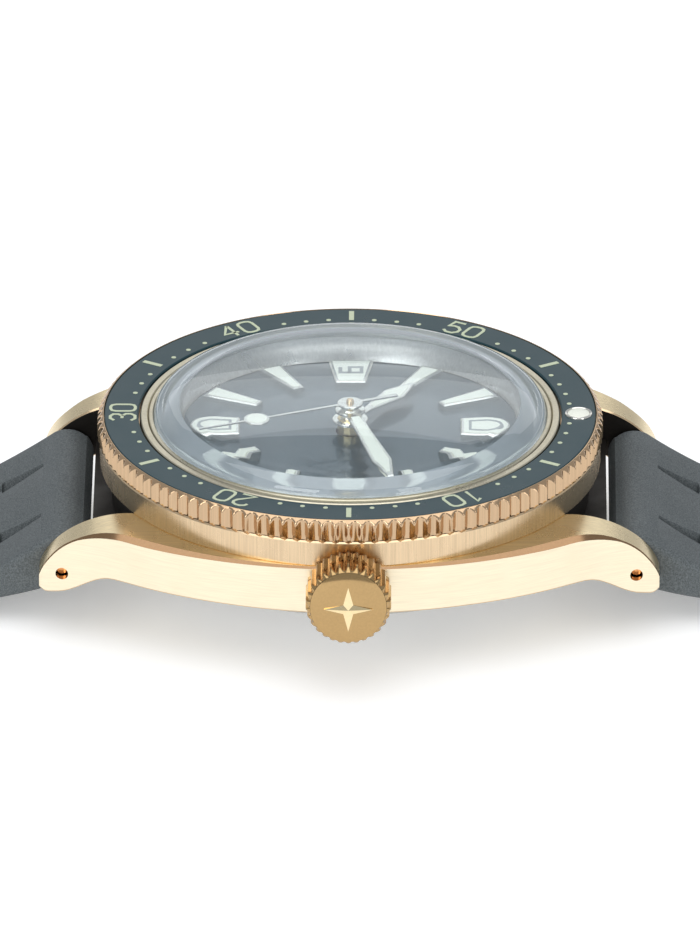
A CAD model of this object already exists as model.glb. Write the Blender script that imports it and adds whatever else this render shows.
"""Looks for the dive watch: detailed pieces over the CAD frame, materials, studio and camera. Lengths are in mm."""

from math import asin, atan2, cos, pi, radians, sin, sqrt

import bmesh
import bpy
from mathutils import Matrix, Vector


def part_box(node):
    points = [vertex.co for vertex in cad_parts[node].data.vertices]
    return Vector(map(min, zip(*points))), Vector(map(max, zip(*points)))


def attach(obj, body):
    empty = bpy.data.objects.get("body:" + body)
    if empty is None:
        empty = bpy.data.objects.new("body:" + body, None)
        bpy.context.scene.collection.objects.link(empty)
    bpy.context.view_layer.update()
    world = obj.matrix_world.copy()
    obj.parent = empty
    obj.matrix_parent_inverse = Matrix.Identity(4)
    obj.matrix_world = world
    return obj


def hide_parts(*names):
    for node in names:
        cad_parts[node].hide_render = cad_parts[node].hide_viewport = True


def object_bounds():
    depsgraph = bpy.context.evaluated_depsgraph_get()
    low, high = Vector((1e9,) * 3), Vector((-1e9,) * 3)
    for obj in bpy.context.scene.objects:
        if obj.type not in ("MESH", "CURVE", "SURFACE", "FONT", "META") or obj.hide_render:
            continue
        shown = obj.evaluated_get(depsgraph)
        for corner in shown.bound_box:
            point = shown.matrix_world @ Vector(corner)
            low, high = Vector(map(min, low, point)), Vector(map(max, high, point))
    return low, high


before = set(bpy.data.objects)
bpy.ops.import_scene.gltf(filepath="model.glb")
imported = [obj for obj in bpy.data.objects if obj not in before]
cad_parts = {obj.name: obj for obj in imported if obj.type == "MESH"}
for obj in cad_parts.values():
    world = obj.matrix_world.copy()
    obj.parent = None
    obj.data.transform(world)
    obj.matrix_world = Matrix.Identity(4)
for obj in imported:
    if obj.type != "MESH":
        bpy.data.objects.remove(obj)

CAD_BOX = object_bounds()
MM = 0.001


def span(node):
    """Lowest and highest corner of a CAD node, in mm."""
    low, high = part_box(node)
    return [c / MM for c in low], [c / MM for c in high]


# --- Places taken from the frame ------------------------------------------------------------------------------
BEZEL_LOW, BEZEL_HIGH = span("bezel_ring")
BEZEL_R = BEZEL_HIGH[0]
BEZEL_BOTTOM_Z, BEZEL_TOP_Z = BEZEL_LOW[2], BEZEL_HIGH[2]
INSERT_R = span("bezel_insert")[1][0]
CASE_HIGH = span("mid_case")[1]
LUG_TIP_Y = CASE_HIGH[1]
CASE_HALF = CASE_HIGH[0]
CROWN_LOW, CROWN_HIGH = span("crown")
CROWN_Z = (CROWN_LOW[2] + CROWN_HIGH[2]) / 2
CROWN_R = (CROWN_HIGH[2] - CROWN_LOW[2]) / 2
CRYSTAL_R = span("crystal")[1][0]
CRYSTAL_BASE_Z, CRYSTAL_TOP_Z = span("crystal")[0][2], span("crystal")[1][2]
DIAL_TOP_Z = span("dial")[1][2]
MARKER_TOP_Z = span("hour_marker_01")[1][2]
BAR_Y = (span("spring_bar_12")[0][1] + span("spring_bar_12")[1][1]) / 2
BAR_Z = (span("spring_bar_12")[0][2] + span("spring_bar_12")[1][2]) / 2
STRAP_6_LOW = span("strap_6")[0]
TABLE_Z = CAD_BOX[0].z / MM

# --- Proportions of the finished surfaces ---------------------------------------------------------------------
RING_R = 19.8
RING_TOP_Z = 8.45
RING_BOTTOM_Z, WALL_R = 6.3, 18.9
SHELF_Y, SHELF_TOP_Z = 20.3, 3.3
LUG_TOP_Z = 6.35
LUG_BOTTOM_Z = 2.4
LUG_TIP_Z = 0.55
LUG_GAP_HALF = 10.05
COLLAR_BORE_R, COLLAR_R, COLLAR_TOP_Z = 15.98, 16.58, 10.25
BEZEL_TEETH, FLUTE_DEPTH = 120, 0.38
CROWN_TEETH = 30
PIP_AT_R = 18.06
MARK_IN_R, MARK_OUT_R = 17.35, 19.02
HAND_TURNS = {"hour_hand": 306.2, "minute_hand": 74.6, "seconds_hand": 157.4}
STRAP_WIDTH, STRAP_NARROW, STRAP_THICK, STRAP_END_R = 19.9, 18.0, 2.4, 2.1
STRAP_12_FLAT_Z, STRAP_12_LENGTH = -2.2, 72.0
STRAP_DROP_SHARE = 3.3  # length of the slope, in multiples of its drop
STRAP_THIN_BY = 6.0  # distance from the spring bar where the strap has thinned out
FLANK_R, FLANK_BLEND_Y, LUG_TIP_HALF = 32.0, 17.0, 12.5
RAIL_INNER_R, SHELF_FROM_Y = 18.4, 18.0
SPRING_BAR_BORE_R = 0.5


# --- Materials ------------------------------------------------------------------------------------------------
class Nodes:
    """Short names for building one Principled material."""

    def __init__(self, name, colour, roughness, metallic=0.0):
        self.material = bpy.data.materials.new(name)
        self.material.use_nodes = True
        self.tree = self.material.node_tree
        self.shader = self.tree.nodes["Principled BSDF"]
        self.shader.inputs["Base Color"].default_value = (*colour, 1.0)
        self.shader.inputs["Roughness"].default_value = roughness
        self.shader.inputs["Metallic"].default_value = metallic
        self.place = self.tree.nodes.new("ShaderNodeTexCoord").outputs["Object"]

    def link(self, output, target):
        self.tree.links.new(output, target)

    def noise(self, scale, stretch=(1, 1, 1), detail=3.0):
        mapping = self.tree.nodes.new("ShaderNodeMapping")
        mapping.inputs["Scale"].default_value = stretch
        self.link(self.place, mapping.inputs["Vector"])
        noise = self.tree.nodes.new("ShaderNodeTexNoise")
        noise.inputs["Scale"].default_value = scale
        noise.inputs["Detail"].default_value = detail
        self.link(mapping.outputs["Vector"], noise.inputs["Vector"])
        return noise.outputs["Fac"]

    def ramp(self, value, stops):
        ramp = self.tree.nodes.new("ShaderNodeValToRGB")
        for element, (at, colour) in zip(ramp.color_ramp.elements, (stops[0], stops[-1])):
            element.position = at
            element.color = (*colour, 1.0)
        for at, colour in stops[1:-1]:
            ramp.color_ramp.elements.new(at).color = (*colour, 1.0)
        self.link(value, ramp.inputs["Fac"])
        return ramp.outputs["Color"]

    def remap(self, value, low, high):
        node = self.tree.nodes.new("ShaderNodeMapRange")
        node.inputs["From Min"].default_value = 0.3
        node.inputs["From Max"].default_value = 0.7
        node.inputs["To Min"].default_value = low
        node.inputs["To Max"].default_value = high
        self.link(value, node.inputs["Value"])
        return node.outputs["Result"]

    def bump(self, value, distance_mm, strength=1.0, after=None):
        node = self.tree.nodes.new("ShaderNodeBump")
        node.inputs["Distance"].default_value = distance_mm * MM
        node.inputs["Strength"].default_value = strength
        self.link(value, node.inputs["Height"])
        if after:
            self.link(after, node.inputs["Normal"])
        self.link(node.outputs["Normal"], self.shader.inputs["Normal"])
        return node.outputs["Normal"]


def metal(name, colour, roughness, stretch=(1, 1, 1), scratch_mm=0.0015, tint=0.08, grain=9000.0):
    """Metal with fine lines along the axis whose stretch is small, and slight changes of tone."""
    made = Nodes(name, colour, roughness, 1.0)
    lines = made.noise(grain, stretch, 2.0)
    worn = made.noise(420.0, (1, 1, 1), 4.0)
    darker = tuple(c * (1 - tint) for c in colour)
    lighter = tuple(min(1.0, c * (1 + tint * 0.5)) for c in colour)
    made.link(made.ramp(lines, [(0.35, darker), (0.65, lighter)]), made.shader.inputs["Base Color"])
    made.link(made.remap(worn, roughness * 0.85, roughness * 1.2), made.shader.inputs["Roughness"])
    made.bump(lines, scratch_mm, 0.8)
    return made.material


def rubber(name, colour, roughness=0.62):
    """Moulded rubber with a fine sparkle grain and faint handling marks."""
    made = Nodes(name, colour, roughness)
    grain = made.noise(9000.0, (1, 1, 1), 2.0)
    cloud = made.noise(260.0, (1, 1, 1), 4.0)
    made.link(
        made.ramp(grain, [(0.35, tuple(c * 0.72 for c in colour)), (0.68, tuple(c * 1.45 for c in colour))]),
        made.shader.inputs["Base Color"],
    )
    made.link(made.remap(cloud, roughness * 0.88, roughness * 1.1), made.shader.inputs["Roughness"])
    made.shader.inputs["Specular IOR Level"].default_value = 0.35
    made.bump(grain, 0.02, 0.6)
    return made.material


def painted(name, colour, roughness, coat=0.0, tone=0.1, grain=1500.0, shine=0.5):
    made = Nodes(name, colour, roughness)
    made.shader.inputs["Specular IOR Level"].default_value = shine
    cloud = made.noise(grain, (1, 1, 1), 3.0)
    darker = tuple(c * (1 - tone) for c in colour)
    lighter = tuple(min(1, c * (1 + tone)) for c in colour)
    made.link(made.ramp(cloud, [(0.3, darker), (0.7, lighter)]), made.shader.inputs["Base Color"])
    made.link(made.remap(cloud, roughness * 0.9, roughness * 1.1), made.shader.inputs["Roughness"])
    made.shader.inputs["Coat Weight"].default_value = coat
    made.shader.inputs["Coat Roughness"].default_value = 0.06
    return made.material


def dial_lacquer():
    """Slate blue over radial brushing: lines that run out from the centre."""
    made = Nodes("dial_lacquer", (0.045, 0.08, 0.1), 0.3, 0.4)
    split = made.tree.nodes.new("ShaderNodeSeparateXYZ")
    made.link(made.place, split.inputs["Vector"])
    angle = made.tree.nodes.new("ShaderNodeMath")
    angle.operation = "ARCTAN2"
    made.link(split.outputs["Y"], angle.inputs[0])
    made.link(split.outputs["X"], angle.inputs[1])
    noise = made.tree.nodes.new("ShaderNodeTexNoise")
    noise.noise_dimensions = "1D"
    noise.inputs["Scale"].default_value = 60.0
    noise.inputs["Detail"].default_value = 4.0
    made.link(angle.outputs["Value"], noise.inputs["W"])
    made.link(
        made.ramp(noise.outputs["Fac"], [(0.3, (0.04, 0.072, 0.09)), (0.7, (0.05, 0.087, 0.108))]),
        made.shader.inputs["Base Color"],
    )
    made.bump(noise.outputs["Fac"], 0.004, 0.5)
    made.shader.inputs["Coat Weight"].default_value = 0.6
    made.shader.inputs["Coat Roughness"].default_value = 0.05
    return made.material


def crystal_glass():
    """Clear glass that lets light fall straight on to the dial."""
    made = Nodes("crystal_glass", (1.0, 1.0, 1.0), 0.0)
    tree = made.tree
    glass = tree.nodes.new("ShaderNodeBsdfGlass")
    glass.inputs["Color"].default_value = (0.97, 0.99, 1.0, 1.0)
    glass.inputs["Roughness"].default_value = 0.0
    glass.inputs["IOR"].default_value = 1.62
    clear = tree.nodes.new("ShaderNodeBsdfTransparent")
    clear.inputs["Color"].default_value = (0.93, 0.96, 0.97, 1.0)
    path = tree.nodes.new("ShaderNodeLightPath")
    mix = tree.nodes.new("ShaderNodeMixShader")
    made.link(path.outputs["Is Shadow Ray"], mix.inputs["Fac"])
    made.link(glass.outputs["BSDF"], mix.inputs[1])
    made.link(clear.outputs["BSDF"], mix.inputs[2])
    made.link(mix.outputs["Shader"], tree.nodes["Material Output"].inputs["Surface"])
    tree.nodes.remove(made.shader)
    return made.material


ALONG_Y, ALONG_Z, ALL_ROUND = (1, 0.02, 1), (1, 1, 0.02), (0.6, 0.6, 0.6)
CASE_GOLD = (0.94, 0.83, 0.62)
FLANK_BRUSHED = metal("flank_brushed", CASE_GOLD, 0.36, (0.02, 0.02, 1), 0.0015, 0.06, 20000.0)
GAP_DARK = metal("gap_dark", (0.05, 0.045, 0.04), 0.5, ALL_ROUND, 0.0002, 0.05)
TOP_BRUSHED = metal("top_brushed", (0.90, 0.74, 0.46), 0.28, ALONG_Y, 0.002, 0.1)
EDGE_POLISHED = metal("edge_polished", (0.36, 0.22, 0.12), 0.12, ALL_ROUND, 0.0002, 0.05)
RING_BRUSHED = metal("ring_brushed", (0.74, 0.56, 0.36), 0.26, ALONG_Z, 0.003, 0.1)
CASE_POLISHED = metal("case_polished", (0.80, 0.60, 0.38), 0.14, ALL_ROUND, 0.0004, 0.05)
BEZEL_POLISHED = metal("bezel_polished", (0.60, 0.42, 0.26), 0.14, ALONG_Z, 0.0006, 0.08)
CROWN_POLISHED = metal("crown_polished", (0.50, 0.33, 0.15), 0.1, ALL_ROUND, 0.0001, 0.04)
STAR_POLISHED = metal("star_polished", (0.93, 0.75, 0.44), 0.1, ALL_ROUND, 0.0001, 0.03)
STEEL_POLISHED = metal("steel_polished", (0.80, 0.79, 0.74), 0.16, ALL_ROUND, 0.0004, 0.05)
STEEL_BRUSHED = metal("steel_brushed", (0.70, 0.69, 0.66), 0.3, ALONG_Z, 0.002, 0.12)
STEEL_MATTE = metal("steel_matte", (0.62, 0.62, 0.60), 0.38, ALL_ROUND, 0.001, 0.1)
COLLAR_SATIN = metal("collar_satin", (0.66, 0.61, 0.47), 0.3, ALL_ROUND, 0.001, 0.08)
BAR_COPPER = metal("bar_copper", (0.80, 0.36, 0.14), 0.22, ALL_ROUND, 0.001, 0.1)
MOVEMENT_BRASS = metal("movement_brass", (0.80, 0.64, 0.34), 0.28, ALONG_Y, 0.001, 0.08)
STRAP_RUBBER = rubber("strap_rubber", (0.095, 0.108, 0.112))
SEAL_RUBBER = rubber("seal_rubber", (0.02, 0.02, 0.02))
INSERT_ENAMEL = painted("insert_enamel", (0.010, 0.040, 0.050), 0.3, 0.08, 0.03, 400.0, 0.3)
LUME = painted("lume", (0.86, 0.88, 0.78), 0.5, 0.0, 0.04, 6000.0)
MARK_LUME = painted("mark_lume", (0.56, 0.62, 0.44), 0.5, 0.0, 0.06, 6000.0)
NUMERAL_PAINT = painted("numeral_paint", (0.30, 0.32, 0.33), 0.5, 0.0, 0.06, 6000.0)
NYLON = painted("nylon", (0.72, 0.72, 0.66), 0.42, 0.0, 0.06, 3000.0)
DIAL_LACQUER = dial_lacquer()
CRYSTAL_GLASS = crystal_glass()
CRYSTAL_RIM = painted("crystal_rim", (0.50, 0.56, 0.60), 0.08, 0.4, 0.05, 300.0)
CRYSTAL_RIM.node_tree.nodes["Principled BSDF"].inputs["Transmission Weight"].default_value = 0.55


# --- Mesh building --------------------------------------------------------------------------------------------
def circle(radius, count, start=0.0):
    return [(radius * cos(start + 2 * pi * i / count), radius * sin(start + 2 * pi * i / count)) for i in range(count)]


def ring_of(bm, outline, z):
    return [bm.verts.new((x, y, z)) for x, y in outline]


def join_rings(bm, low, high, slot=0):
    count = len(low)
    for i in range(count):
        j = (i + 1) % count
        bm.faces.new((low[i], low[j], high[j], high[i])).material_index = slot


def cap(bm, loop, slot=0):
    bm.faces.new(loop).material_index = slot


def piece(name, bm, materials, body, nodes=(), smooth=32.0, matrix=None):
    """One object of the watch, riding on a CAD body and standing for the CAD nodes."""
    bmesh.ops.recalc_face_normals(bm, faces=bm.faces)
    if matrix is not None:
        bmesh.ops.transform(bm, matrix=matrix, verts=bm.verts)
    bmesh.ops.scale(bm, vec=Vector((MM, MM, MM)), verts=bm.verts)
    mesh = bpy.data.meshes.new(name)
    bm.to_mesh(mesh)
    bm.free()
    for material in materials:
        mesh.materials.append(material)
    mesh.shade_smooth()
    mesh.set_sharp_from_angle(angle=radians(smooth))
    made = bpy.data.objects.new(name, mesh)
    bpy.context.scene.collection.objects.link(made)
    if body:
        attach(made, body)
    if nodes:
        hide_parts(*nodes)
    return made


def turned_profile(bm, profile, count, slots=None):
    """A closed (radius, z) profile turned about Z. Radius 0 becomes one vertex."""
    rings = []
    for radius, z in profile:
        rings.append([bm.verts.new((0, 0, z))] if radius == 0 else ring_of(bm, circle(radius, count), z))
    pairs = list(zip(rings, rings[1:] + rings[:1]))
    for index, (near, far) in enumerate(pairs):
        slot = slots[index] if slots else 0
        if len(near) == 1 and len(far) == 1:
            continue
        if len(near) == 1 or len(far) == 1:
            tip, rim = (near[0], far) if len(near) == 1 else (far[0], near)
            for i in range(count):
                bm.faces.new((rim[i], rim[(i + 1) % count], tip)).material_index = slot
        else:
            join_rings(bm, near, far, slot)
    return bm


def prism(bm, outline, low, high, slot=0, bevel=0.0):
    """An outline extruded upwards, with an optional chamfer round its top."""
    rings = [ring_of(bm, outline, low), ring_of(bm, outline, high - bevel)]
    if bevel:
        rings.append(ring_of(bm, shrink(outline, bevel), high))
    for near, far in zip(rings, rings[1:]):
        join_rings(bm, near, far, slot)
    cap(bm, rings[0][::-1], slot)
    cap(bm, rings[-1], slot)


def shrink(outline, by):
    """The outline moved inwards by a distance. Points run counter-clockwise."""
    made = []
    count = len(outline)
    for i, (x, y) in enumerate(outline):
        ax, ay = outline[i - 1]
        bx, by_ = outline[(i + 1) % count]
        ux, uy = x - ax, y - ay
        vx, vy = bx - x, by_ - y
        lu, lv = sqrt(ux * ux + uy * uy) or 1e-9, sqrt(vx * vx + vy * vy) or 1e-9
        nx, ny = -uy / lu - vy / lv, ux / lu + vx / lv
        size = nx * nx + ny * ny
        scale = min(2.0 * by / size, 2.2 * by) if size > 1e-9 else 0.0
        made.append((x + nx * scale, y + ny * scale))
    return made


def turn_clockwise(points, degrees):
    angle = -radians(degrees)
    return [(x * cos(angle) - y * sin(angle), x * sin(angle) + y * cos(angle)) for x, y in points]


def ribbon(bm, points, width, low, high, place, closed=False, slot=0):
    """A line of even width through the points, as a thin solid."""
    count = len(points)
    left, right = [], []
    for i, (x, y) in enumerate(points):
        before = points[i - 1] if (i or closed) else None
        after = points[(i + 1) % count] if (i < count - 1 or closed) else None
        directions = []
        for a, b in ((before, (x, y)), ((x, y), after)):
            if a is not None and b is not None:
                size = sqrt((b[0] - a[0]) ** 2 + (b[1] - a[1]) ** 2)
                directions.append(((b[0] - a[0]) / size, (b[1] - a[1]) / size))
        dx = sum(d[0] for d in directions) / len(directions)
        dy = sum(d[1] for d in directions) / len(directions)
        size = max(0.35, dx * dx + dy * dy)
        nx, ny = -dy / size * width / 2, dx / size * width / 2
        left.append(place(x + nx, y + ny))
        right.append(place(x - nx, y - ny))
    corners = [[bm.verts.new((*p, z)) for p in line] for line in (left, right) for z in (low, high)]
    left_low, left_high, right_low, right_high = corners
    for i in range(count if closed else count - 1):
        j = (i + 1) % count
        for a, b in ((left_high, right_high), (right_low, left_low), (left_low, left_high), (right_high, right_low)):
            bm.faces.new((a[i], a[j], b[j], b[i])).material_index = slot
    if not closed:
        for i in (0, -1):
            bm.faces.new((left_low[i], left_high[i], right_high[i], right_low[i])).material_index = slot


DIGITS = {
    "0": [(True, [(0.0, 0.35), (0.1, 0.1), (0.35, 0.0), (0.65, 0.0), (0.9, 0.1), (1.0, 0.35), (1.0, 1.25), (0.9, 1.5),
                  (0.65, 1.6), (0.35, 1.6), (0.1, 1.5), (0.0, 1.25)])],
    "1": [(False, [(0.25, 1.3), (0.6, 1.6), (0.6, 0.0)])],
    "2": [(False, [(0.0, 1.2), (0.08, 1.45), (0.35, 1.6), (0.65, 1.6), (0.92, 1.45), (1.0, 1.2), (0.9, 0.92), (0.0, 0.0),
                   (1.0, 0.0)])],
    "3": [(False, [(0.03, 1.35), (0.3, 1.6), (0.68, 1.6), (0.94, 1.4), (0.94, 1.08), (0.7, 0.84), (0.35, 0.84)]),
          (False, [(0.7, 0.84), (1.0, 0.58), (1.0, 0.26), (0.72, 0.0), (0.28, 0.0), (0.0, 0.26)])],
    "4": [(False, [(0.72, 1.6), (0.0, 0.48), (1.05, 0.48)]), (False, [(0.74, 0.0), (0.74, 1.55)])],
    "5": [(False, [(0.9, 1.6), (0.14, 1.6), (0.06, 0.88), (0.4, 1.0), (0.72, 0.96), (1.0, 0.66), (1.0, 0.3), (0.72, 0.0),
                   (0.28, 0.0), (0.0, 0.24)])],
    "6": [(True, [(0.0, 0.0), (1.0, 0.0), (1.0, 0.9), (0.0, 0.9)]), (False, [(0.0, 0.9), (0.0, 1.6), (0.95, 1.6)])],
    "9": [(True, [(0.0, 0.7), (1.0, 0.7), (1.0, 1.6), (0.0, 1.6)]), (False, [(1.0, 0.7), (1.0, 0.0), (0.05, 0.0)])],
}


def write_number(bm, text, height, stroke, low, high, place, slot=0):
    """Digits centred on the origin of place, which turns (right, up) into (x, y)."""
    unit = height / 1.6
    pitch = unit * 1.42
    start = -(len(text) - 1) * pitch / 2 - unit / 2
    for index, digit in enumerate(text):
        for closed, points in DIGITS[digit]:
            line = [(start + index * pitch + x * unit, (y - 0.8) * unit) for x, y in points]
            ribbon(bm, line, stroke, low, high, place, closed, slot)


def outward(radius, clockwise):
    """Places (right, up) so that up points away from the dial's centre, at that direction and radius."""
    turn = radians(clockwise)
    return lambda u, v: (
        (radius + v) * sin(turn) + u * cos(turn),
        (radius + v) * cos(turn) - u * sin(turn),
    )


# --- Case -----------------------------------------------------------------------------------------------------
def flank(y):
    """Half width of the case, seen from above."""
    bow = min(abs(y), FLANK_BLEND_Y)
    wide = CASE_HALF - FLANK_R + sqrt(FLANK_R**2 - bow**2)
    share = min(1.0, max(0.0, (abs(y) - FLANK_BLEND_Y) / 5.9))
    tip = max(0.0, (abs(y) - 23.6) / (LUG_TIP_Y - 23.6))
    return LUG_TIP_HALF + (wide - LUG_TIP_HALF) * (1 - share) ** 1.45 - 0.25 * tip * tip


def lug_top(y):
    share = min(1.0, max(0.0, (abs(y) - 17.5) / (LUG_TIP_Y + 0.12 - 17.5)))
    return 1.3 + (LUG_TOP_Z - 1.3) * (1 - share**1.85) ** (1 / 1.85)


def lug_bottom(y):
    share = min(1.0, max(0.0, (abs(y) - 18.6) / (23.0 - 18.6)))
    corner = max(0.0, (abs(y) - 23.7) / (LUG_TIP_Y - 23.7))
    middle = 0.2 * max(0.0, 1 - abs(y) / 9.0)
    return LUG_BOTTOM_Z + (LUG_TIP_Z - LUG_BOTTOM_Z) * share * share * (3 - 2 * share) + 0.35 * corner**2 - middle * 0.4


def bevel_width(y):
    grow = min(1.0, abs(y) / 15.5)
    fade = min(1.0, max(0.0, (abs(y) - 16.5) / 4.9))
    return 0.1 + (0.08 + 0.45 * grow * grow) * (1 - fade * fade)


def rail(bm, side):
    """One flank with its two lugs: brushed side, dark polished bevel, brushed top, dark wall towards the strap."""
    steps = [LUG_TIP_Y * (1 - (1 - k / 44) ** 1.5) for k in range(45)]
    stations = [-y for y in steps[:0:-1]] + steps
    loops = []
    for y in stations:
        outer, top, bottom = flank(y), lug_top(y), lug_bottom(y)
        inner = max(LUG_GAP_HALF, sqrt(max(0.0, RAIL_INNER_R**2 - y * y)))
        bevel = bevel_width(y)
        edge = max(bottom + 0.3, top - 0.08 - 0.42 * bevel)
        section = [
            (inner, bottom + 0.12), (inner + 0.12, bottom), (outer - 0.15, bottom), (outer, bottom + 0.15), (outer, edge),
            (outer - bevel, top), (inner + 0.12, top), (inner, top - 0.12),
        ]
        loops.append([bm.verts.new((side * x, y, z)) for x, z in section])
    for near, far in zip(loops, loops[1:]):
        for k in range(8):
            slot = {3: 0, 4: 4, 5: 5, 6: 1, 7: 6, 0: 1, 1: 0, 2: 1}[k]
            bm.faces.new((near[k], near[(k + 1) % 8], far[(k + 1) % 8], far[k])).material_index = slot
    cap(bm, loops[0], 5)
    cap(bm, loops[-1], 5)


def build_case():
    bm = bmesh.new()
    profile = [
        (14.3, 3.5), (14.3, 7.55), (COLLAR_BORE_R, 7.55), (COLLAR_BORE_R, COLLAR_TOP_Z - 0.08),
        (COLLAR_BORE_R + 0.08, COLLAR_TOP_Z), (COLLAR_R - 0.08, COLLAR_TOP_Z), (COLLAR_R, COLLAR_TOP_Z - 0.08),
        (COLLAR_R, RING_TOP_Z), (RING_R - 0.12, RING_TOP_Z), (RING_R, RING_TOP_Z - 0.12), (RING_R, RING_BOTTOM_Z + 0.1),
        (RING_R - 0.1, RING_BOTTOM_Z), (WALL_R, RING_BOTTOM_Z), (WALL_R, LUG_BOTTOM_Z), (17.15, LUG_BOTTOM_Z), (17.15, 2.9), (15.95, 2.9), (15.95, 3.5),
    ]
    slots = [2, 2, 3, 3, 3, 3, 3, 1, 1, 2, 1, 6, 6, 0, 0, 0, 0, 0]
    turned_profile(bm, profile, 240, slots)
    rail(bm, 1)
    rail(bm, -1)
    for end in (1, -1):
        reach = sorted((end * SHELF_FROM_Y, end * SHELF_Y))
        across = LUG_GAP_HALF + 0.3
        ledge = [(-across, reach[0]), (across, reach[0]), (across, reach[1]), (-across, reach[1])]
        prism(bm, ledge, LUG_BOTTOM_Z + 0.02, SHELF_TOP_Z, 6)
    looks = [FLANK_BRUSHED, CASE_POLISHED, RING_BRUSHED, COLLAR_SATIN, EDGE_POLISHED, TOP_BRUSHED, GAP_DARK]
    case = piece("case_body", bm, looks, "case", ["mid_case"], 28.0)
    for sign in (-1, 1):
        cutter = bmesh.new()
        prism(cutter, circle(SPRING_BAR_BORE_R, 32), 8.0, 16.0)
        both = cutter.copy()
        for tool, side in ((cutter, 1), (both, -1)):
            place = Matrix.Translation((0, sign * BAR_Y, BAR_Z)) @ Matrix.Rotation(side * pi / 2, 4, "Y")
            bore = piece("bore", tool, [CASE_POLISHED], None, (), 30.0, place)
            cut(case, bore, True)
    case.data.set_sharp_from_angle(angle=radians(28.0))
    case.modifiers.new("even_faces", "WEIGHTED_NORMAL").keep_sharp = True


def cut(target, tool, crossing=False):
    """Cuts the tool out of the target and removes the tool."""
    modifier = target.modifiers.new("cut", "BOOLEAN")
    modifier.operation = "DIFFERENCE"
    modifier.solver = "EXACT"
    modifier.use_self = crossing
    modifier.object = tool
    with bpy.context.temp_override(object=target, active_object=target, selected_objects=[target]):
        bpy.context.view_layer.update()
        bpy.ops.object.modifier_apply(modifier="cut")
    bpy.data.objects.remove(tool)


# --- Bezel ----------------------------------------------------------------------------------------------------
def flute_outline(radius, teeth, crest_r, depth, samples=10, wide=0.46):
    """A circle with rounded flutes cut into it from a cylinder of radius crest_r."""
    points = []
    for i in range(teeth * samples):
        share = (i % samples) / samples - 0.5
        angle = 2 * pi * i / (teeth * samples)
        bite = crest_r - depth * (1 - (share / wide) ** 2) if abs(share) < wide else crest_r
        reach = min(radius, bite)
        points.append((reach * cos(angle), reach * sin(angle)))
    return points


def build_bezel():
    bm = bmesh.new()
    top, low = BEZEL_TOP_Z, BEZEL_BOTTOM_Z
    outside = [
        (BEZEL_R - 0.22, low), (BEZEL_R - 0.04, low + 0.16), (BEZEL_R, low + 0.22), (BEZEL_R, top - 0.62),
        (BEZEL_R - 0.03, top - 0.5), (BEZEL_R - 0.1, top - 0.36), (BEZEL_R - 0.2, top - 0.22),
        (BEZEL_R - 0.31, top - 0.11), (BEZEL_R - 0.42, top - 0.03), (BEZEL_R - 0.47, top),
    ]
    around = BEZEL_TEETH * 10
    rings = [ring_of(bm, flute_outline(r, BEZEL_TEETH, BEZEL_R, FLUTE_DEPTH), z) for r, z in outside]
    for radius, z in ((INSERT_R + 0.05, top), (INSERT_R + 0.02, top - 0.06), (INSERT_R + 0.02, top - 0.55),
                      (16.65, top - 0.55), (16.65, low + 0.55), (18.9, low + 0.55), (18.9, low)):
        rings.append(ring_of(bm, circle(radius, around), z))
    for near, far in zip(rings, rings[1:] + rings[:1]):
        join_rings(bm, near, far)
    piece("bezel_edge", bm, [BEZEL_POLISHED], "bezel", ["bezel_ring"], 50.0)

    bm = bmesh.new()
    inner, outer = 16.73, INSERT_R - 0.01
    turned_profile(bm, [(inner, top - 0.48), (inner, top - 0.1), (inner + 0.1, top - 0.01), (outer - 0.08, top - 0.01),
                        (outer, top - 0.08), (outer, top - 0.48)], 300)
    piece("bezel_scale", bm, [INSERT_ENAMEL], "bezel", ["bezel_insert"], 40.0)

    bm = bmesh.new()
    mark_low, mark_high = top - 0.1, top + 0.015
    for minute in range(1, 60):
        turn = 6.0 * minute
        if minute % 10 == 0:
            write_number(bm, str(minute), 1.95, 0.24, mark_low, mark_high, outward(17.97, turn))
        elif minute % 5 == 0:
            ribbon(bm, [(0, MARK_IN_R - 18.0), (0, MARK_OUT_R - 18.0)], 0.4, mark_low, mark_high, outward(18.0, turn))
        elif minute % 10 not in (1, 9) or minute in (1, 59):
            spot = outward(17.42, turn)
            prism(bm, [spot(-u, v) for u, v in circle(0.19, 16)][::-1], mark_low, mark_high)
    piece("bezel_marks", bm, [MARK_LUME], "bezel")

    bm = bmesh.new()
    dome = [(0.0, top + 0.22), (0.35, top + 0.2), (0.66, top + 0.13), (0.86, top + 0.04), (0.86, top - 0.4), (0.0, top - 0.4)]
    turned_profile(bm, dome, 48)
    bmesh.ops.translate(bm, vec=Vector((0, PIP_AT_R, 0)), verts=bm.verts)
    piece("pip_lume", bm, [LUME], "bezel", ["bezel_pip"])
    bm = bmesh.new()
    turned_profile(bm, [(0.87, top - 0.4), (0.87, top + 0.06), (0.95, top + 0.12), (1.06, top + 0.08), (1.1, top - 0.02),
                        (1.1, top - 0.4)], 48)
    bmesh.ops.translate(bm, vec=Vector((0, PIP_AT_R, 0)), verts=bm.verts)
    piece("pip_cup", bm, [STEEL_POLISHED], "bezel")


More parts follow.
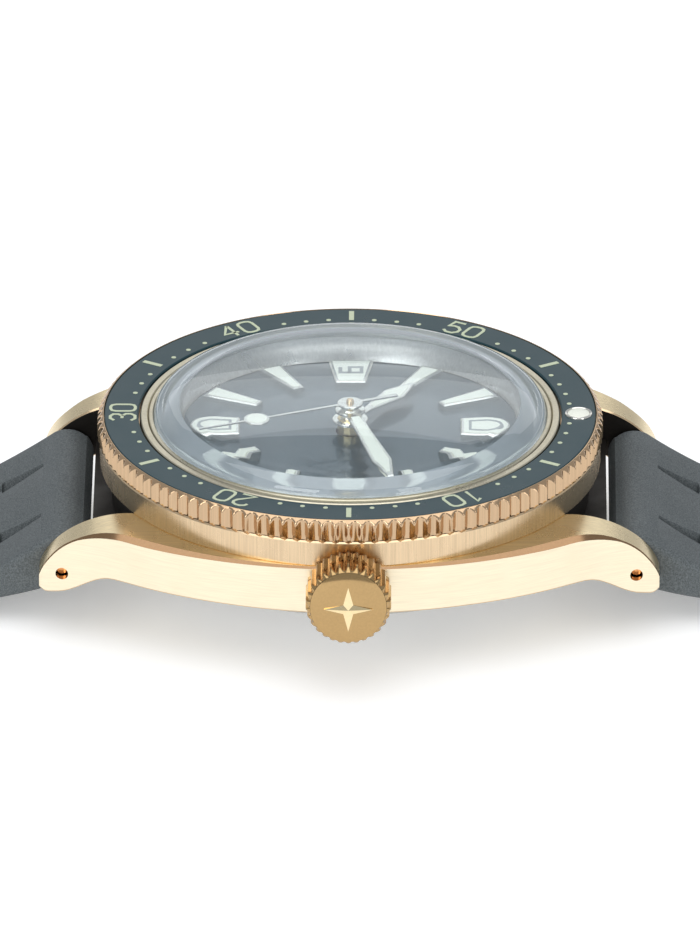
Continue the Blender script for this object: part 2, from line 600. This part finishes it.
def build_crystal():
    bm = bmesh.new()
    top, base = CRYSTAL_TOP_Z, CRYSTAL_BASE_Z
    profile = [(0.0, top)]
    for k in range(1, 15):
        r = k * 1.0
        profile.append((r, top - 1.1 * (r / 14.0) ** 2.1))
    profile += [(14.5, 11.42), (14.95, 11.2), (15.25, 10.94), (15.43, 10.65), (CRYSTAL_R, 10.35), (CRYSTAL_R, base)]
    rim_from = len(profile) - 1
    profile += [(14.4, base), (14.2, 9.8), (13.8, 10.15), (13.3, 10.37)]
    rim_to = len(profile) - 1
    for k in range(12, 0, -1):
        r = k * 1.07
        profile.append((r, 11.5 - 1.3 * (r / 14.4) ** 2))
    profile.append((0.0, 11.5))
    slots = [1 if rim_from <= k < rim_to else 0 for k in range(len(profile))]
    turned_profile(bm, profile, 160, slots)
    piece("crystal_dome", bm, [CRYSTAL_GLASS, CRYSTAL_RIM], "case", ["crystal"], 60.0)

    bm = bmesh.new()
    turned_profile(bm, [(CRYSTAL_R + 0.04, 9.5), (CRYSTAL_R + 0.04, 10.2), (CRYSTAL_R + 0.12, 10.28), (15.86, 10.28),
                        (15.93, 10.2), (15.93, 9.5)], 160)
    piece("crystal_seal", bm, [COLLAR_SATIN], "case", ["crystal_gasket"])

    bm = bmesh.new()
    turned_profile(bm, [(13.5, 8.05), (13.52, 8.14), (14.32, 9.38), (14.4, 9.44), (15.85, 9.44), (15.85, 8.05)], 240)
    piece("rehaut", bm, [STEEL_BRUSHED], "case", ["rehaut_ring"])


# --- Dial and hands -------------------------------------------------------------------------------------------
def marker_outline(hour):
    if hour in (6, 12):
        inner, outer, half = 8.7, 12.7, 1.7
        bow = [(half * cos(pi * k / 14), outer - 2.0 + 2.0 * sin(pi * k / 14)) for k in range(15)]
        return [(-half * 0.86, inner), (half * 0.86, inner)] + bow
    inner, outer, narrow, wide = (8.4, 12.7, 1.2, 1.8) if hour in (3, 9) else (8.3, 12.9, 0.46, 0.98)
    return [(-narrow, inner), (narrow, inner), (wide, outer), (-wide, outer)]


def build_dial():
    bm = bmesh.new()
    hole = 1.15
    turned_profile(bm, [(hole, DIAL_TOP_Z - 0.4), (hole, DIAL_TOP_Z), (15.6, DIAL_TOP_Z), (15.6, DIAL_TOP_Z - 0.4)], 200)
    piece("dial_plate", bm, [DIAL_LACQUER], "case", ["dial"])
    for hour in range(1, 13):
        flat = marker_outline(hour)
        bm = bmesh.new()
        base = DIAL_TOP_Z + 0.01
        prism(bm, turn_clockwise(flat, 30.0 * hour), base, MARKER_TOP_Z + 0.02, 0, 0.1)
        piece("marker_%02d" % hour, bm, [STEEL_POLISHED], "case", ["hour_marker_%02d" % hour], 20.0)
        bm = bmesh.new()
        prism(bm, turn_clockwise(shrink(flat, 0.26), 30.0 * hour), base + 0.2, MARKER_TOP_Z + 0.05)
        piece("marker_lume_%02d" % hour, bm, [LUME], "case")
    bm = bmesh.new()
    low, high = MARKER_TOP_Z, MARKER_TOP_Z + 0.075
    middle = 10.7

    def upright(clockwise, radius):
        turn = radians(clockwise)
        return lambda u, v: (radius * sin(turn) + u, radius * cos(turn) + v)

    write_number(bm, "9", 1.7, 0.3, low, high, upright(270, middle))
    write_number(bm, "3", 1.7, 0.3, low, high, upright(90, middle))
    for hour in (6, 12):
        ribbon(bm, turn_clockwise(shrink(marker_outline(hour), 0.75), 30 * hour), 0.22, low, high, lambda u, v: (u, v), True)
    piece("marker_numerals", bm, [NUMERAL_PAINT], "case")


def hand_blade(hub_r, neck, shoulder, shoulder_at, length, tip=0.3):
    start = asin(neck / hub_r)
    hub = [(hub_r * sin(a), hub_r * cos(a)) for a in [-start - (2 * pi - 2 * start) * k / 40 for k in range(41)]]
    return hub + [(neck, shoulder_at * 0.42), (shoulder, shoulder_at), (tip, length), (-tip, length),
                  (-shoulder, shoulder_at), (-neck, shoulder_at * 0.42)]


def build_hands():
    for node, blade, inlay, body in (
        ("hour_hand", hand_blade(1.42, 0.36, 0.98, 5.9, 8.4, 0.16),
         [(-0.2, 2.9), (0.2, 2.9), (0.68, 5.85), (0.12, 7.75), (-0.12, 7.75), (-0.68, 5.85)], "hours"),
        ("minute_hand", hand_blade(1.2, 0.6, 0.82, 9.6, 12.0, 0.25),
         [(-0.34, 1.5), (0.34, 1.5), (0.56, 9.5), (0.14, 11.4), (-0.14, 11.4), (-0.56, 9.5)], "minutes"),
    ):
        low, high = span(node)[0][2], span(node)[1][2]
        bm = bmesh.new()
        prism(bm, turn_clockwise(blade, HAND_TURNS[node]), low, high, 0, 0.06)
        piece(node + "_frame", bm, [STEEL_POLISHED], body, [node], 25.0)
        bm = bmesh.new()
        prism(bm, turn_clockwise(inlay, HAND_TURNS[node]), low + 0.03, high + 0.02)
        piece(node + "_lume", bm, [LUME], body)
    low, high = span("seconds_hand")[0][2], span("seconds_hand")[1][2]
    bm = bmesh.new()
    turn = HAND_TURNS["seconds_hand"]
    rod = [(-0.2, -4.0), (0.2, -4.0), (0.14, 0), (0.08, 12.7), (-0.08, 12.7), (-0.14, 0)]
    prism(bm, turn_clockwise(rod, turn), low, high)
    prism(bm, circle(1.02, 48), low - 0.01, high + 0.03, 0, 0.05)
    disc = [(x, y + 7.9) for x, y in circle(1.02, 48)]
    prism(bm, turn_clockwise(disc, turn), low, high + 0.01, 0, 0.04)
    piece("seconds_needle", bm, [STEEL_POLISHED], "seconds", ["seconds_hand"], 25.0)
    bm = bmesh.new()
    prism(bm, turn_clockwise([(x, y + 7.9) for x, y in circle(0.82, 48)], turn), low + 0.05, high + 0.03)
    piece("seconds_lume", bm, [LUME], "seconds")
    bm = bmesh.new()
    turned_profile(bm, [(0.0, high + 0.32), (0.22, high + 0.3), (0.3, high + 0.2), (0.3, high - 0.02), (0.0, high - 0.02)], 32)
    piece("seconds_cap", bm, [CASE_POLISHED], "seconds")


# --- Crown ----------------------------------------------------------------------------------------------------
def build_crown():
    bm = bmesh.new()
    length = CROWN_HIGH[0] - CROWN_LOW[0]
    samples, depth = 10, 0.3
    steps = [(CROWN_R - 0.5, 0.0), (CROWN_R - 0.12, 0.18), (CROWN_R, 0.4), (CROWN_R, length - 0.95),
             (CROWN_R - 0.06, length - 0.75), (CROWN_R - 0.18, length - 0.55), (CROWN_R - 0.34, length - 0.42)]
    rings = [ring_of(bm, flute_outline(r, CROWN_TEETH, CROWN_R, depth, samples, 0.4), z) for r, z in steps]
    around = CROWN_TEETH * samples
    for radius, z in ((3.0, length - 0.46), (2.99, length - 0.38), (2.7, length - 0.28), (2.1, length - 0.16), (1.2, length - 0.06), (0.4, length - 0.01)):
        rings.append(ring_of(bm, circle(radius, around), z))
    back = [ring_of(bm, circle(2.15, around), 0.0), ring_of(bm, circle(2.15, around), 2.3)]
    for near, far in zip(rings, rings[1:]):
        join_rings(bm, near, far)
    join_rings(bm, back[0], rings[0])
    join_rings(bm, back[1], back[0])
    cap(bm, rings[-1])
    cap(bm, back[1])
    lay = Matrix.Translation((CROWN_LOW[0], 0, CROWN_Z)) @ Matrix.Rotation(pi / 2, 4, "Y")
    piece("crown_cap", bm, [CROWN_POLISHED], "crown", ["crown"], 45.0, lay)
    bm = bmesh.new()
    reach = [1.9, 0.55] * 4
    star = [(reach[k] * cos(pi * k / 4), reach[k] * sin(pi * k / 4)) for k in range(8)]
    rings = [ring_of(bm, star, length - 0.3), ring_of(bm, star, length)]
    join_rings(bm, *rings)
    tip = bm.verts.new((0, 0, length + 0.2))
    for i in range(8):
        bm.faces.new((rings[1][i], rings[1][(i + 1) % 8], tip))
    cap(bm, rings[0])
    piece("crown_star", bm, [STAR_POLISHED], "crown", (), 10.0, lay)


# --- Strap ----------------------------------------------------------------------------------------------------
def strap_line(length, flat_z, coarse):
    """(y, z, thickness) along the middle of a half."""
    drop = BAR_Z - flat_z - STRAP_THICK / 2
    drop_to = STRAP_DROP_SHARE * drop
    points = []
    s = 0.0
    while s < length:
        share = min(1.0, s / drop_to)
        middle = BAR_Z - drop * (1 - (1 - share) ** 1.7)
        thick = 2 * STRAP_END_R + (STRAP_THICK - 2 * STRAP_END_R) * min(1.0, s / STRAP_THIN_BY)
        points.append((BAR_Y + s, middle, thick))
        s += 0.4 if s < drop_to + 4 else coarse
    points.append((BAR_Y + length, flat_z + STRAP_THICK / 2, STRAP_THICK))
    return points


def strap_half(s):
    return STRAP_WIDTH / 2 + (STRAP_NARROW - STRAP_WIDTH) / 2 * min(1.0, max(0.0, (s - 3.0) / 30.0))


def strap_section(half, thick):
    """Counter-clockwise (x, w) with rounded edges. w runs from -1 below to 1 above."""
    points = []
    edge, count = 0.55, 5
    for sx, sw, start in ((1, -1, 270), (1, 1, 0), (-1, 1, 90), (-1, -1, 180)):
        for k in range(count + 1):
            a = radians(start + 90 * k / count)
            x = sx * (half - edge) + edge * cos(a)
            w = sw * (1 - 2 * edge / thick) + 2 * edge / thick * sin(a)
            points.append((x, w))
    return points


def strap_solid(length, flat_z, side, tip):
    bm = bmesh.new()
    sections = []

    def section(y, z, thick, half, slope=0.0):
        loop = []
        for x, w in strap_section(half, thick):
            height = w * thick / 2
            loop.append(bm.verts.new((x, side * (y - sin(slope) * height), z + cos(slope) * height)))
        sections.append(loop)

    line = strap_line(length, flat_z, 1.5)
    first = atan2(line[1][1] - line[0][1], line[1][0] - line[0][0])
    for turn in (80, 70, 60, 50, 40, 30, 20, 10):
        back = STRAP_END_R * sin(radians(turn))
        thick = max(1.2, 2 * STRAP_END_R * cos(radians(turn)))
        section(BAR_Y - back * cos(first), BAR_Z - back * sin(first), thick, STRAP_WIDTH / 2, first)
    for index, (y, z, thick) in enumerate(line[:-1]):
        after = line[index + 1]
        before = line[max(0, index - 1)]
        slope = atan2(after[1] - before[1], after[0] - before[0])
        if tip and y > BAR_Y + length - 8.0:
            continue
        section(y, z, thick, strap_half(y - BAR_Y), slope)
    end_y, end_z, end_thick = line[-1]
    half = strap_half(length)
    if tip:
        for k in range(1, 13):
            a = radians(85 * k / 12)
            section(end_y - 8.0 + 8.0 * sin(a), end_z, end_thick, max(1.2, half * cos(a) ** 0.8))
    else:
        for turn in (0, 15, 30, 45, 60, 75):
            section(end_y + 1.7 * sin(radians(turn)), end_z, max(1.2, 3.4 * cos(radians(turn))), half)
    for near, far in zip(sections, sections[1:]):
        join_rings(bm, near, far)
    cap(bm, sections[0])
    cap(bm, sections[-1])
    return bm


def strap_top(s, flat_z):
    drop = BAR_Z - flat_z - STRAP_THICK / 2
    share = min(1.0, s / (STRAP_DROP_SHARE * drop))
    half_thick = STRAP_END_R + (STRAP_THICK / 2 - STRAP_END_R) * min(1.0, s / STRAP_THIN_BY)
    return BAR_Z - drop * (1 - (1 - share) ** 1.7) + half_thick


def groove(x, start, end, side, flat_z, depth_from, depth_to, half_from, half_to):
    """A wedge-shaped tool that leaves a groove with a slanted floor."""
    bm = bmesh.new()
    loops = []
    for k in range(13):
        share = k / 12
        s = start + (end - start) * share
        half = half_from + (half_to - half_from) * share
        floor = strap_top(s, flat_z) - (depth_from + (depth_to - depth_from) * share)
        loops.append([bm.verts.new((x + u, side * (BAR_Y + s), z)) for u, z in (
            (-half * 0.7, floor), (half * 0.7, floor), (half * 1.3, floor + 2.5), (-half * 1.3, floor + 2.5))])
    for near, far in zip(loops, loops[1:]):
        join_rings(bm, near, far)
    cap(bm, loops[0])
    cap(bm, loops[-1])
    return bm


def build_straps():
    long, short = -STRAP_6_LOW[1] - BAR_Y, STRAP_12_LENGTH
    for name, side, length, flat_z, tip in (
        ("strap_6", -1, long, STRAP_6_LOW[2], True),
        ("strap_12", 1, short, STRAP_12_FLAT_Z, False),
    ):
        strap = piece(name + "_half", strap_solid(length, flat_z, side, tip), [STRAP_RUBBER], name, [name], 40.0)
        tools = []
        for x in (-4.6, 4.6):
            tools.append(groove(x, 1.8, 5.1, side, flat_z, 0.1, 0.6, 0.35, 1.1))
            tools.append(groove(x, 3.8, 13.0, side, flat_z, 0.95, 0.8, 0.5, 1.2))
        for y, radius in ((BAR_Y, 0.8),) + (((BAR_Y + short, 0.78),) if not tip else ()):
            bm = bmesh.new()
            prism(bm, circle(radius, 24), -12.0, 12.0)
            z = BAR_Z if y == BAR_Y else flat_z + STRAP_THICK / 2
            place = Matrix.Translation((0, side * y, z)) @ Matrix.Rotation(pi / 2, 4, "Y")
            bmesh.ops.transform(bm, matrix=place, verts=bm.verts)
            tools.append(bm)
        if tip:
            for i in range(7):
                y = -(BAR_Y + length - 22.0 - i * 6.5)
                bm = bmesh.new()
                turns = [pi * (k + 0.5) / 12 for k in range(24)]
                slot = [(1.1 * cos(a), y + 0.8 * sin(a) + (0.4 if sin(a) > 0 else -0.4)) for a in turns]
                prism(bm, slot, flat_z - 1, flat_z + STRAP_THICK + 1)
                tools.append(bm)
        else:
            bm = bmesh.new()
            y = BAR_Y + short
            prism(bm, [(-1.5, y - 3.0), (1.5, y - 3.0), (1.5, y + 4.0), (-1.5, y + 4.0)], -5.0, 4.0)
            tools.append(bm)
        for bm in tools:
            cut(strap, piece("tool", bm, [STRAP_RUBBER], None))
        finish_edges(strap, 0.12, 35.0)


# --- CAD nodes that stay --------------------------------------------------------------------------------------
def finish_edges(thing, width, angle=30.0, segments=2):
    modifier = thing.modifiers.new("edges", "BEVEL")
    modifier.width = width * MM
    modifier.segments = segments
    modifier.limit_method = "ANGLE"
    modifier.angle_limit = radians(angle)
    modifier.harden_normals = False


KEPT = {
    "case_back": STEEL_MATTE, "case_back_gasket": SEAL_RUBBER, "bezel_click_spring": STEEL_MATTE,
    "crown_gasket": SEAL_RUBBER, "crown_tube": STEEL_BRUSHED, "winding_stem": STEEL_MATTE,
    "movement_holder": NYLON, "main_plate": MOVEMENT_BRASS, "train_bridge": STEEL_BRUSHED, "barrel": MOVEMENT_BRASS,
    "centre_wheel": MOVEMENT_BRASS, "third_wheel": MOVEMENT_BRASS, "fourth_wheel": MOVEMENT_BRASS,
    "escape_wheel": STEEL_POLISHED, "cannon_pinion": STEEL_POLISHED, "minute_wheel": MOVEMENT_BRASS,
    "hour_wheel": MOVEMENT_BRASS, "pallet_fork": STEEL_POLISHED, "balance_wheel": MOVEMENT_BRASS,
    "hairspring": STEEL_POLISHED, "balance_cock": STEEL_BRUSHED, "rotor": STEEL_BRUSHED, "rotor_bearing": STEEL_POLISHED,
    "spring_bar_12": BAR_COPPER, "spring_bar_6": BAR_COPPER, "buckle_frame": FLANK_BRUSHED,
    "buckle_tongue": CASE_POLISHED, "buckle_bar": STEEL_POLISHED, "keeper_fixed": STRAP_RUBBER, "keeper_free": STRAP_RUBBER,
}


def finish_kept_nodes():
    for name, material in KEPT.items():
        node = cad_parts[name]
        node.data.materials.clear()
        node.data.materials.append(material)
    for name, width in (("buckle_frame", 0.35), ("keeper_fixed", 0.25), ("keeper_free", 0.25), ("buckle_tongue", 0.15),
                        ("case_back", 0.1)):
        finish_edges(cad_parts[name], width, 30.0, 3)


# --- Studio and camera ----------------------------------------------------------------------------------------
def area_light(name, place, target, size, power, colour=(1, 1, 1)):
    data = bpy.data.lights.new(name, "AREA")
    data.shape = "RECTANGLE"
    data.size, data.size_y = size
    data.energy = power
    data.color = colour
    light = bpy.data.objects.new(name, data)
    light.location = place
    light.rotation_euler = (Vector(target) - Vector(place)).to_track_quat("-Z", "Y").to_euler()
    light.visible_camera = False
    bpy.context.scene.collection.objects.link(light)


def build_studio():
    bm = bmesh.new()
    half = 40000.0
    corners = [bm.verts.new((x * half, y * half, TABLE_Z - 0.01)) for x, y in ((-1, -1), (1, -1), (1, 1), (-1, 1))]
    bm.faces.new(corners)
    made = Nodes("floor_paper", (0.85, 0.85, 0.85), 0.8)
    made.shader.inputs["Emission Color"].default_value = (1.0, 1.0, 1.0, 1.0)
    made.shader.inputs["Emission Strength"].default_value = 0.3
    floor = piece("floor", bm, [made.material], None)
    world = bpy.data.worlds.new("studio")
    world.use_nodes = True
    world.node_tree.nodes["Background"].inputs["Color"].default_value = (0.93, 0.96, 1.0, 1.0)
    world.node_tree.nodes["Background"].inputs["Strength"].default_value = 0.5
    bpy.context.scene.world = world
    area_light("overhead", (0.12, 0.0, 0.75), (0, 0, 0), (1.0, 1.0), 3.9)
    area_light("front_left", (0.75, -0.45, 0.35), (0, 0, 0), (0.4, 0.4), 1.7)
    area_light("front_right", (0.8, 0.55, 0.25), (0, 0, 0), (0.22, 0.5), 0.8)
    area_light("behind", (-0.9, 0.1, 0.5), (0, 0, 0), (0.9, 0.3), 0.55)


def build_camera():
    data = bpy.data.cameras.new("camera")
    data.sensor_fit = "AUTO"
    data.sensor_width = 36.0
    distance = 1500.0
    frame_height = 933.0 / 12.65
    data.lens = 36.0 * distance / frame_height
    data.clip_start, data.clip_end = 0.05, 200.0
    camera = bpy.data.objects.new("camera", data)
    elevation, azimuth = radians(25.5), radians(0.35)
    away = Vector((cos(elevation) * cos(azimuth), cos(elevation) * sin(azimuth), sin(elevation)))
    aim = Vector((1.82, 0.0, 6.48))
    camera.location = (aim + away * distance) * MM
    camera.rotation_mode = "QUATERNION"
    camera.rotation_quaternion = (-away).to_track_quat("-Z", "Y")
    bpy.context.scene.collection.objects.link(camera)
    bpy.context.scene.camera = camera
    bpy.context.scene.view_settings.view_transform = "Standard"


build_case()
build_bezel()
build_crystal()
build_dial()
build_hands()
build_crown()
build_straps()
finish_kept_nodes()
build_studio()
build_camera()
